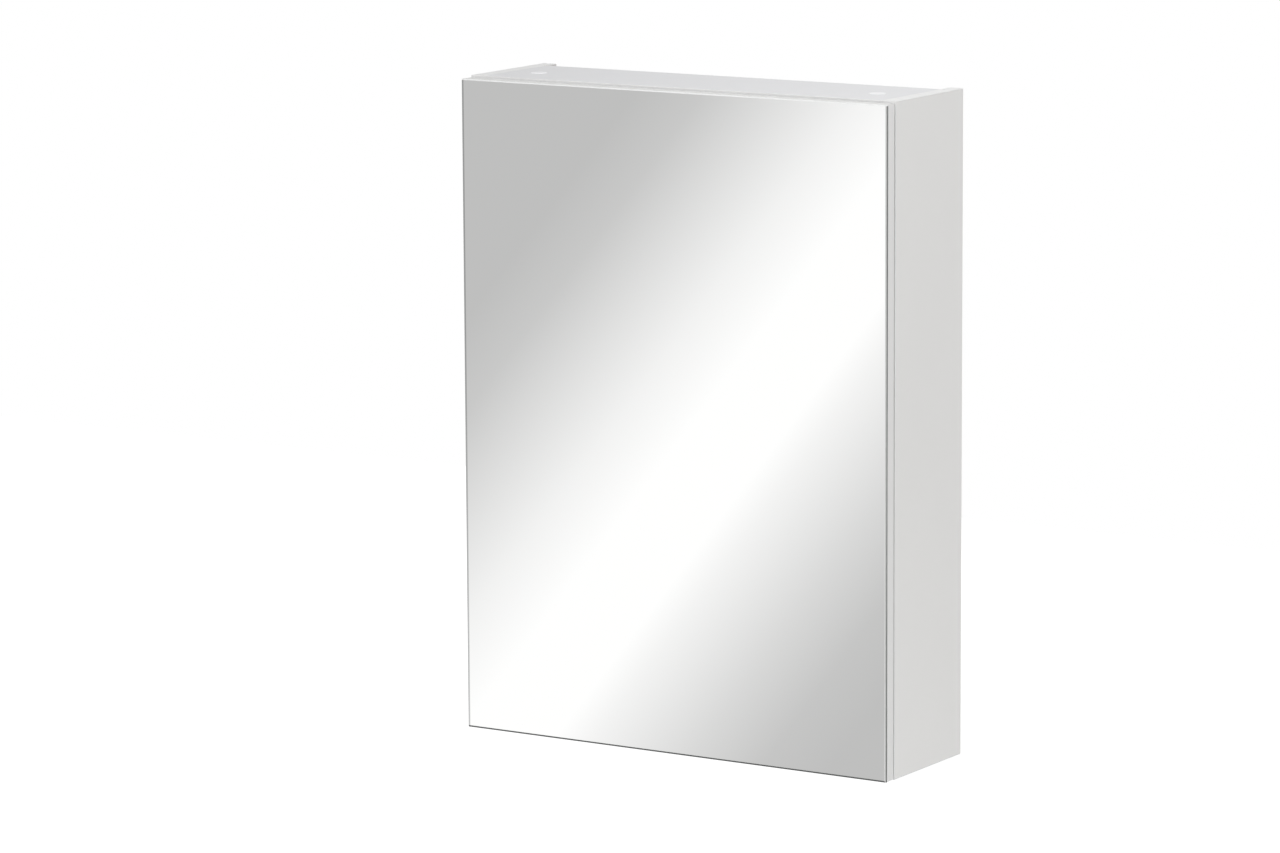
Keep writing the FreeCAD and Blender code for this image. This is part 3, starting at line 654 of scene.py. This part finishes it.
shank = times(tree, takes["Shank Radius"], minus(tree, 1.0, notch))
in_head = calc(tree, "GREATER_THAN", level, -TINY)
radius = mix_values(tree, in_head, shank, head)
turned = reshape(tree, blank.outputs[0], on_radius(tree, spot, radius, level))
print(f"head and shank from {RINGS} rings")

# %% The fastener's recess and stance
ROLL_SEED = 7

lift = point_at(tree, 0.0, 0.0, takes["Head Height"])
deep = times(tree, takes["Recess Depth"], 2.0)
driven = turned
for first, second in (("Recess Length", "Recess Width"), ("Recess Width", "Recess Length")):
    bit = block(tree, point_at(tree, takes[first], takes[second], deep), lift)
    driven = add(tree, "GeometryNodeMeshBoolean", {"Mesh 1": driven, "Mesh 2": bit},
                 operation="DIFFERENCE", solver="EXACT").outputs[0]
has_recess = add(tree, "FunctionNodeCompare", {0: takes["Recess Depth"], 1: TINY}, operation="GREATER_THAN")
shape = add(tree, "GeometryNodeSwitch", {0: has_recess.outputs[0], 1: turned, 2: driven},
            input_type="GEOMETRY").outputs[0]
chance = add(tree, "FunctionNodeRandomValue", {2: 0.0, 3: math.tau, 8: ROLL_SEED}, data_type="FLOAT")
roll = add(tree, "FunctionNodeAxisAngleToRotation", {"Axis": (0, 0, 1), "Angle": chance.outputs[1]})
stance = add(tree, "FunctionNodeRotateRotation", {0: facing(tree, "Z"), 1: roll.outputs[0]},
             rotation_space="LOCAL")
set_on_seats(tree, takes, gives, shape, stance.outputs[0])

# %% [markdown]
# The places come from the solids themselves. A CAD node with several loose screws is copied, its triangles
# are merged, and each loose island gives a box: its middle is the screw's axis and its far end is the top of
# the head.

# %% Find the seats
SAME_SPOT = 0.000001
BOX_DIGITS = 5


def loose_boxes(name):
    """Lowest and highest corner of each loose solid of a CAD node."""
    copy = bmesh.new()
    copy.from_mesh(nodes[name].data)
    bmesh.ops.remove_doubles(copy, verts=copy.verts, dist=SAME_SPOT)
    left = set(copy.verts)
    boxes = []
    while left:
        reach = [left.pop()]
        points = []
        while reach:
            corner = reach.pop()
            points.append(corner.co.copy())
            near = [edge.other_vert(corner) for edge in corner.link_edges]
            reach += [other for other in near if other in left]
            left.difference_update(near)
        boxes.append((Vector(map(min, zip(*points))), Vector(map(max, zip(*points)))))
    copy.free()
    return sorted(boxes, key=lambda box: [round(value, BOX_DIGITS) for value in box[0]])


def seats_of(boxes, way, head_height):
    """Seat points under the heads of the boxed fasteners, which look along way."""
    seats = []
    for low, high in boxes:
        centre = (low + high) / 2
        half = (high - low) / 2
        top = sum(abs(step) * reach for step, reach in zip(way, half))
        seats.append((centre + Vector(way) * (top - head_height * MILLIMETRE), way))
    return seats


print(f"{len(loose_boxes('hinge_plate_screws'))} screws found in the hinge plates")

# %% Grow pieces and let them stand for solids
PLAIN_NUMBERS = ("Dome", "Thread", "Sides", "Flutes")


def grow(tree, seats, finish, **sizes):
    """One plain mesh with the tree's piece on every seat; a seat is a point and the way the piece looks."""
    mesh = bpy.data.meshes.new("seats")
    mesh.from_pydata([point for point, way in seats], [], [])
    aims = mesh.attributes.new("aim", "FLOAT_VECTOR", "POINT")
    aims.data.foreach_set("vector", [value for point, way in seats for value in way])
    holder = bpy.data.objects.new("holder", mesh)
    recipe = holder.modifiers.new("recipe", "NODES")
    recipe.node_group = tree
    for item in tree.interface.items_tree:
        if item.name == "Finish":
            recipe[item.identifier] = finish
        elif item.name in PLAIN_NUMBERS:
            recipe[item.identifier] = sizes[item.name]
        elif item.socket_type == FLOAT:
            recipe[item.identifier] = sizes.get(item.name.replace(" ", "_"), 0.0) * MILLIMETRE
    scene.collection.objects.link(holder)
    made = bpy.data.meshes.new_from_object(holder.evaluated_get(bpy.context.evaluated_depsgraph_get()))
    bpy.data.objects.remove(holder)
    made.materials.clear()
    made.materials.append(finish)
    made.polygons.foreach_set("material_index", [0] * len(made.polygons))
    return made


def stand_for(node, body, slot, *meshes):
    """Join the grown meshes into one piece that takes the CAD node's place."""
    joined = bmesh.new()
    for mesh in meshes:
        joined.from_mesh(mesh)
    whole_mesh = bpy.data.meshes.new(f"{node}_detail")
    joined.to_mesh(whole_mesh)
    joined.free()
    whole_mesh.materials.append(meshes[0].materials[0])
    piece = bpy.data.objects.new(f"{node}_detail", whole_mesh)
    scene.collection.objects.link(piece)
    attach(piece, body)
    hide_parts(node)
    print(f"{piece.name}: {len(whole_mesh.polygons)} faces")
    return piece


def fasteners(boxes, way, finish, sizes):
    """Fasteners in the boxes, with their heads at the far ends."""
    return grow(fastener, seats_of(boxes, way, sizes["Head_Height"]), finish, **sizes)


print("pieces can be grown")

# %% Plate, hanger and cup screws, in millimetres
RIGHT, LEFT, REAR, UP, DOWN = (1, 0, 0), (-1, 0, 0), (0, 1, 0), (0, 0, 1), (0, 0, -1)
PAN_HEAD = dict(Head_Radius=3.6, Head_Height=1.8, Shank_Radius=1.9, Dome=0.62, Thread=0.3, Sides=28,
                Recess_Length=3.8, Recess_Width=0.85, Recess_Depth=1.2)
PLATE_SCREW = dict(PAN_HEAD, Shank_Length=12.6)
HANGER_SCREW = dict(PAN_HEAD, Shank_Length=13.0)
CUP_SCREW = dict(Head_Radius=3.6, Head_Height=0.6, Shank_Radius=1.7, Shank_Length=9.8, Dome=0.3, Thread=0.3,
                 Sides=28, Recess_Length=3.6, Recess_Width=0.8, Recess_Depth=0.55)

stand_for("hinge_plate_screws", "carcass", "plated_screws",
          fasteners(loose_boxes("hinge_plate_screws"), RIGHT, plated, PLATE_SCREW))
hanger_boxes = loose_boxes("hanger_screws")
hanger_head = HANGER_SCREW["Head_Height"]
hanger_seats = seats_of([box for box in hanger_boxes if box[0].x < 0], RIGHT, hanger_head)
hanger_seats += seats_of([box for box in hanger_boxes if box[0].x > 0], LEFT, hanger_head)
stand_for("hanger_screws", "carcass", "plated_screws", grow(fastener, hanger_seats, plated, **HANGER_SCREW))
stand_for("hinge_cup_screws", "door", "plated_screws",
          fasteners(loose_boxes("hinge_cup_screws"), REAR, plated, CUP_SCREW))

# %% Arm screws, nails and covers, in millimetres
ARM_SCREW = dict(Head_Radius=3.2, Head_Height=1.8, Shank_Radius=1.9, Shank_Length=8.9, Dome=0.4, Thread=0.2,
                 Sides=28, Recess_Length=3.6, Recess_Width=0.85, Recess_Depth=1.2)
ADJUSTER = dict(Head_Radius=2.0, Head_Height=1.0, Shank_Radius=2.0, Shank_Length=7.9, Dome=0.1, Thread=0.2,
                Sides=24, Recess_Length=2.6, Recess_Width=0.7, Recess_Depth=0.8)
NAIL = dict(Head_Radius=2.5, Head_Height=0.8, Shank_Radius=0.9, Shank_Length=18.0, Dome=0.35, Thread=0.06,
            Sides=20)
COVER = dict(Head_Radius=8.5, Head_Height=0.4, Shank_Radius=6.8, Shank_Length=0.6, Dome=0.06, Thread=0.0,
             Sides=64)
# The solid covers stand this far above the board
COVER_PROUD = 1.0
# Arm screws are wider than this many metres, and adjusters are narrower
HEADED_FROM = 0.005

arm_boxes = loose_boxes("hinge_arm_screws")
headed = [box for box in arm_boxes if box[1].z - box[0].z > HEADED_FROM]
adjusters = [box for box in arm_boxes if box not in headed]
stand_for("hinge_arm_screws", "carcass", "plated_screws",
          fasteners(headed, RIGHT, plated, ARM_SCREW), fasteners(adjusters, RIGHT, plated, ADJUSTER))
stand_for("back_panel_nails", "carcass", "plated_screws",
          fasteners(loose_boxes("back_panel_nails"), REAR, plated, NAIL))
for node, way in (("top_cam_caps", UP), ("bottom_cam_caps", DOWN)):
    cover_seats = seats_of(loose_boxes(node), way, COVER_PROUD)
    stand_for(node, "carcass", "white_plastic", grow(fastener, cover_seats, plastic, **COVER))

# %% [markdown]
# ## Bumpers, shelf pins and dowels
# The door closes on two soft dots. They are short and domed, so the fastener recipe makes them too, with a
# very round head. The shelf pins are moulded: a seat for the shelf, a plate that leans on the board, a
# curved rib between them and a round stem in the hole. The dowels are beech rods with flutes for the glue.
# They could be modelled once and copied, but as recipes their sizes can be changed by a number.

# %% Domed bumpers, in millimetres
BUMPER = dict(Head_Radius=4.0, Head_Height=2.1, Shank_Radius=3.9, Shank_Length=0.2, Dome=0.93, Thread=0.0,
              Sides=48)
stand_for("door_bumpers", "door", "clear_rubber",
          fasteners(loose_boxes("door_bumpers"), REAR, rubber, BUMPER))

# %% The shelf pin's two plates
PIN_SIZES = ("Seat Length", "Seat Width", "Seat Height", "Plate", "Rib", "Stem Radius", "Stem Length")
SET_IN = 0.0004

shelf_pin, takes, gives = start_recipe("shelf pin", PIN_SIZES)
tree = shelf_pin
length, width, height, plate = (takes[label] for label in PIN_SIZES[:4])


def negative(value):
    return times(shelf_pin, value, -1.0)


def half(value):
    return times(shelf_pin, value, 0.5)


seat_reach = minus(tree, length, SET_IN)
seat_middle = negative(plus(tree, half(seat_reach), SET_IN))
seat_plate = block(tree, point_at(tree, seat_reach, width, plate),
                   point_at(tree, seat_middle, 0.0, negative(half(plate))))
lean_height = minus(tree, height, SET_IN)
lean_middle = negative(plus(tree, half(lean_height), SET_IN))
lean_plate = block(tree, point_at(tree, plate, minus(tree, width, 2 * SET_IN), lean_height),
                   point_at(tree, negative(half(plate)), 0.0, lean_middle))
print(f"two plates, set in by {SET_IN * 1000:.1f} mm")

# %% The shelf pin's curved rib
RIB_STEPS = 12

blank = add(tree, "GeometryNodeMeshCube", {"Size": (1.0, 1.0, 1.0), "Vertices X": RIB_STEPS}).outputs[0]
spot = own_place(tree)
near = plus(tree, spot[0], 0.5)
under = minus(tree, 0.5, spot[2])
rib_top = half(plate)
rib_room = minus(tree, minus(tree, height, plate), SET_IN)
rib_depth = times(tree, rib_room, calc(tree, "POWER", near, 2.0))
rib_fall = times(tree, under, plus(tree, rib_depth, minus(tree, rib_top, SET_IN)))
rib_reach = times(tree, minus(tree, 1.0, near), minus(tree, length, 4 * SET_IN))
rib_place = point_at(tree, negative(plus(tree, rib_reach, 2 * SET_IN)), times(tree, spot[1], takes["Rib"]),
                     negative(plus(tree, rib_top, rib_fall)))
rib = reshape(tree, blank, rib_place)
print(f"a rib in {RIB_STEPS} steps")

# %% The shelf pin's stem
STEM_SIDES = 32
LYING_DOWN = (0.0, math.pi / 2, 0.0)

stem_whole = plus(tree, takes["Stem Length"], half(plate))
rod = add(tree, "GeometryNodeMeshCylinder",
          {"Vertices": STEM_SIDES, "Radius": takes["Stem Radius"], "Depth": stem_whole}, fill_type="NGON")
stem_middle = minus(tree, half(stem_whole), half(plate))
stem = shifted(tree, rod.outputs[0], point_at(tree, stem_middle, 0.0, negative(half(height))), LYING_DOWN)
moulded = add(tree, "GeometryNodeMeshBoolean", operation="UNION", solver="EXACT")
for part in (seat_plate, lean_plate, rib, stem):
    tree.links.new(part, moulded.inputs["Mesh 2"])
set_on_seats(tree, takes, gives, moulded.outputs[0], facing(tree, "X", "Z"))

# %% Shelf pins, in millimetres
PIN = dict(Seat_Length=8.0, Seat_Width=10.0, Seat_Height=7.0, Plate=2.0, Rib=2.6, Stem_Radius=2.45,
           Stem_Length=9.5)
PIN_EDGE = 0.00025

for node in ("lower_shelf_pins", "upper_shelf_pins"):
    pin_seats = []
    for low, high in loose_boxes(node):
        way = LEFT if low.x < 0 else RIGHT
        tip = low.x if way is LEFT else high.x
        wall = tip - way[0] * PIN["Stem_Length"] * MILLIMETRE
        pin_seats.append((Vector((wall, (low.y + high.y) / 2, high.z)), way))
    pins = stand_for(node, "carcass", "white_plastic", grow(shelf_pin, pin_seats, plastic, **PIN))
    round_edges(pins, PIN_EDGE)

# %% The dowel recipe
DOWEL_SIZES = ("Radius", "Length", "Flute Depth", "Tip")
FLUTE_CORNERS = 4.0
DOWEL_RINGS = 30

dowel, takes, gives = start_recipe("fluted dowel", DOWEL_SIZES, [("Flutes", WHOLE, 18)])
tree = dowel
blank = add(tree, "GeometryNodeMeshCylinder",
            {"Vertices": times(tree, takes["Flutes"], FLUTE_CORNERS), "Side Segments": DOWEL_RINGS,
             "Radius": 1.0, "Depth": takes["Length"]}, fill_type="NGON")
spot = own_place(tree)
turn_share = calc(tree, "DIVIDE", calc(tree, "ARCTAN2", spot[1], spot[0]), math.tau)
wave = calc(tree, "PINGPONG", times(tree, turn_share, takes["Flutes"]), 0.5)
groove = times(tree, times(tree, wave, 2.0), takes["Flute Depth"])
to_end = minus(tree, times(tree, takes["Length"], 0.5), calc(tree, "ABSOLUTE", spot[2]))
taper = calc(tree, "MAXIMUM", minus(tree, takes["Tip"], to_end), 0.0)
radius = minus(tree, minus(tree, takes["Radius"], groove), taper)
fluted = reshape(tree, blank.outputs[0], on_radius(tree, spot, radius, spot[2]))
set_on_seats(tree, takes, gives, fluted, facing(tree, "Z"))

# %% Fluted dowels, in millimetres
DOWEL = dict(Radius=4.0, Length=30.0, Flute_Depth=0.35, Tip=1.0, Flutes=18)
dowel_seats = [((low + high) / 2, RIGHT) for low, high in loose_boxes("wooden_dowels")]
stand_for("wooden_dowels", "carcass", "beech", grow(dowel, dowel_seats, beech, **DOWEL))

# %% [markdown]
# ## Camera
# The picture shows the cabinet from its right and a little from above, through a long lens, as catalogue
# pictures often do. The view was worked out from the corners of the cabinet in the picture.
# A camera with a shifted lens would keep the uprights parallel, but that shift would push the object out of
# the frame in other views. So this camera has no shift, and is turned down a few degrees instead.

# %% Place the camera
PICTURE_WIDTH = 1280
FOCAL_PIXELS = 5634.6
YAW, PITCH, ROLL = math.radians(32.287), math.radians(9.569), math.radians(-0.3197)
DISTANCE, SIDEWAYS, HEIGHT = 5.5987, -0.0307, 0.9437
FILM_WIDTH = 36.0
FAR_CLIP = 100.0

glass_low, glass_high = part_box("mirror_glass")
target = Vector(((glass_low.x + glass_high.x) / 2, glass_low.y, (glass_low.z + glass_high.z) / 2))
across = Vector((math.cos(YAW), math.sin(YAW), 0))
level_ahead = Vector((-math.sin(YAW), math.cos(YAW), 0))
ahead = level_ahead * math.cos(PITCH) - Vector(UP) * math.sin(PITCH)
upward = level_ahead * math.sin(PITCH) + Vector(UP) * math.cos(PITCH)
camera_place = target + across * SIDEWAYS - level_ahead * DISTANCE + Vector(UP) * HEIGHT
rolled_across = across * math.cos(ROLL) + upward * math.sin(ROLL)
rolled_upward = upward * math.cos(ROLL) - across * math.sin(ROLL)
eye = bpy.data.cameras.new("camera")
eye.sensor_width = FILM_WIDTH
eye.lens = FILM_WIDTH * FOCAL_PIXELS / PICTURE_WIDTH
eye.clip_end = FAR_CLIP
camera = bpy.data.objects.new("camera", eye)
turn = Matrix((rolled_across, rolled_upward, -ahead)).transposed()
camera.matrix_world = Matrix.Translation(camera_place) @ turn.to_4x4()
scene.collection.objects.link(camera)
scene.camera = camera
print(f"camera at {tuple(round(value, 3) for value in camera_place)}, lens {eye.lens:.1f} mm")

# %% [markdown]
# ## Floor and white surroundings
# The picture has a plain white ground. A stronger lamp would bleach the cabinet too, so the white comes from
# what the camera sees: the world shows white to camera, mirror and glass rays, and gives a softer, plain
# light to everything else. The floor lies well below the hanging cabinet and keeps its shadow. It is
# see-through from below, so that the underside of the cabinet can be looked at too.

# %% White surroundings
AMBIENT = 0.555
PURE_WHITE = (1.0, 1.0, 1.0, 1.0)


def seen_directly(tree):
    """1 for camera, mirror and glass rays, 0 for the rays that light the object."""
    path = add(tree, "ShaderNodeLightPath").outputs
    seen = calc(tree, "MAXIMUM", path["Is Camera Ray"], path["Is Glossy Ray"])
    return calc(tree, "MAXIMUM", seen, path["Is Transmission Ray"])


scene.view_settings.view_transform = "Standard"
world = bpy.data.worlds.new("white surroundings")
world.use_nodes = True
tree = world.node_tree
background = tree.nodes["Background"].inputs
tree.links.new(mix_values(tree, seen_directly(tree), AMBIENT, 1.0), background["Strength"])
background["Color"].default_value = PURE_WHITE
scene.world = world
print(f"ambient light of {AMBIENT}")

# %% Floor
FLOOR_LEVEL = -1.85
FLOOR_HALF = 7.0
FLOOR_COLOUR = (0.80, 0.80, 0.80, 1.0)
FLOOR_GLOW = 0.66
FLOOR_CORNERS = ((-1, -1), (1, -1), (1, 1), (-1, 1))

material, tree, shader = start_finish("floor", Base_Color=FLOOR_COLOUR, Emission_Color=PURE_WHITE,
                                      Roughness=0.9, Specular_IOR_Level=0.0)
tree.links.new(times(tree, seen_directly(tree), FLOOR_GLOW), shader.inputs["Emission Strength"])
from_below = add(tree, "ShaderNodeNewGeometry").outputs["Backfacing"]
clear = add(tree, "ShaderNodeBsdfTransparent").outputs[0]
open_below = add(tree, "ShaderNodeMixShader", {0: from_below, 1: shader.outputs[0], 2: clear})
tree.links.new(open_below.outputs[0], tree.nodes["Material Output"].inputs["Surface"])
floor_mesh = bpy.data.meshes.new("floor")
floor_points = [(x * FLOOR_HALF, y * FLOOR_HALF, FLOOR_LEVEL) for x, y in FLOOR_CORNERS]
floor_mesh.from_pydata(floor_points, [], [(0, 1, 2, 3)])
floor_mesh.materials.append(material)
floor = bpy.data.objects.new("floor", floor_mesh)
scene.collection.objects.link(floor)
print(f"floor {2 * FLOOR_HALF:.0f} m wide at {FLOOR_LEVEL} m")

# %% [markdown]
# ## Soft lamps
# A photographer would hang large soft boxes around the cabinet. Area lamps do the same here: one at the
# front, a weak one at the right, one above that lifts the top towards its right end, and one low on the
# right that stands for the light a pale floor throws back.

# %% Place the lamps
def soft_lamp(name, place, size, power):
    """A square area lamp that looks at the cabinet and isn't seen in the mirror."""
    light = bpy.data.lights.new(name, "AREA")
    light.shape = "SQUARE"
    light.size = size
    light.energy = power
    lamp = bpy.data.objects.new(name, light)
    lamp.location = place
    lamp.rotation_euler = (target - Vector(place)).to_track_quat("-Z", "Y").to_euler()
    lamp.visible_glossy = False
    scene.collection.objects.link(lamp)
    print(f"{name}: {power} W, {size} m wide")


soft_lamp("front lamp", place=(-1.2, -4.2, 1.6), size=2.6, power=48.0)
soft_lamp("right lamp", place=(4.2, -1.4, -0.4), size=2.6, power=5.0)
soft_lamp("low fill", place=(1.5, -0.7, -1.3), size=0.8, power=5.8)
soft_lamp("top lamp", place=(1.0, -0.5, 1.6), size=1.0, power=11.8)

# %% [markdown]
# ## What the mirror sees
# A mirror shows the room around it. The picture shows one bright band that runs from the lower left to the
# upper right, and grey corners. The band could be painted on the glass, but then it wouldn't move with the
# view as a reflection does.
# So a dome stands around the cabinet, as a photographer's light tent would, and only mirror rays see it. Its
# soft slanted stripes lie in object coordinates: a point's reach along one slanted direction picks the tone,
# and the pattern repeats, so that the mirror and the metal have something to show from every side.
# The tent is brightest in the part that this picture reflects. Further away it is a little dimmer, so that
# the mirror doesn't melt into the white ground in the other views.

# %% Stripes of the light tent
STRIPE_WAY, STRIPE_START = (0.737, -0.324, -0.593), 0.258
STRIPE_FROM, STRIPE_TO = -0.53, 0.87
STRIPE_WIDTH = STRIPE_TO - STRIPE_FROM
# Distance from the middle of the band, in metres, and brightness there
STRIPE_TONES = ((-0.36, 0.52), (-0.29, 0.58), (-0.13, 0.89), (-0.05, 1.0), (0.05, 1.0), (0.09, 0.90),
                (0.20, 0.69), (0.28, 0.56), (0.35, 0.52), (0.46, 0.52), (0.66, 0.90), (0.86, 0.52))
RAMP_MIDDLE = 0.5

material = bpy.data.materials.new("light tent")
material.use_nodes = True
tree = material.node_tree
tree.nodes.clear()
reach = add(tree, "ShaderNodeVectorMath", {0: object_place(tree), 1: STRIPE_WAY}, operation="DOT_PRODUCT")
wrapped = calc(tree, "WRAP", minus(tree, reach.outputs["Value"], STRIPE_START), STRIPE_TO, STRIPE_FROM)
share = calc(tree, "DIVIDE", minus(tree, wrapped, STRIPE_FROM), STRIPE_WIDTH)
ramp = add(tree, "ShaderNodeValToRGB", {0: share})
tones = ramp.color_ramp.elements
while len(tones) < len(STRIPE_TONES):
    tones.new(RAMP_MIDDLE)
for tone, (distance, brightness) in zip(tones, STRIPE_TONES):
    tone.position = (distance - STRIPE_FROM) / STRIPE_WIDTH
    tone.color = (brightness, brightness, brightness, 1.0)
print(f"stripes every {STRIPE_WIDTH:.1f} m in {len(tones)} tones")

# %% The light tent
TENT_MIDDLE, TENT_RADIUS = Vector((0, 0, -0.15)), 1.65
MIRROR_SHARE = 0.95
BRIGHT_SPOT = (-0.78, -1.37, -0.51)
BRIGHT_REACH, DIM_REACH = 0.62, 1.05
DIM_SHARE = 0.88

away = add(tree, "ShaderNodeVectorMath", {0: object_place(tree), 1: BRIGHT_SPOT}, operation="DISTANCE")
dimmer = add(tree, "ShaderNodeMapRange",
             {"Value": away.outputs["Value"], "From Min": BRIGHT_REACH, "From Max": DIM_REACH,
              "To Min": 1.0 / MIRROR_SHARE, "To Max": DIM_SHARE / MIRROR_SHARE},
             interpolation_type="SMOOTHSTEP")
glow = add(tree, "ShaderNodeEmission", {"Color": ramp.outputs[0], "Strength": dimmer.outputs[0]})
add(tree, "ShaderNodeOutputMaterial", {"Surface": glow.outputs[0]})
ball = bmesh.new()
bmesh.ops.create_uvsphere(ball, u_segments=96, v_segments=48, radius=TENT_RADIUS,
                          matrix=Matrix.Translation(TENT_MIDDLE))
tent_mesh = bpy.data.meshes.new("light tent")
ball.to_mesh(tent_mesh)
ball.free()
tent_mesh.materials.append(material)
tent = bpy.data.objects.new("light tent", tent_mesh)
tent.visible_camera = False
tent.visible_diffuse = False
tent.visible_shadow = False
tent.visible_transmission = False
scene.collection.objects.link(tent)
print(f"light tent {2 * TENT_RADIUS:.1f} m wide")
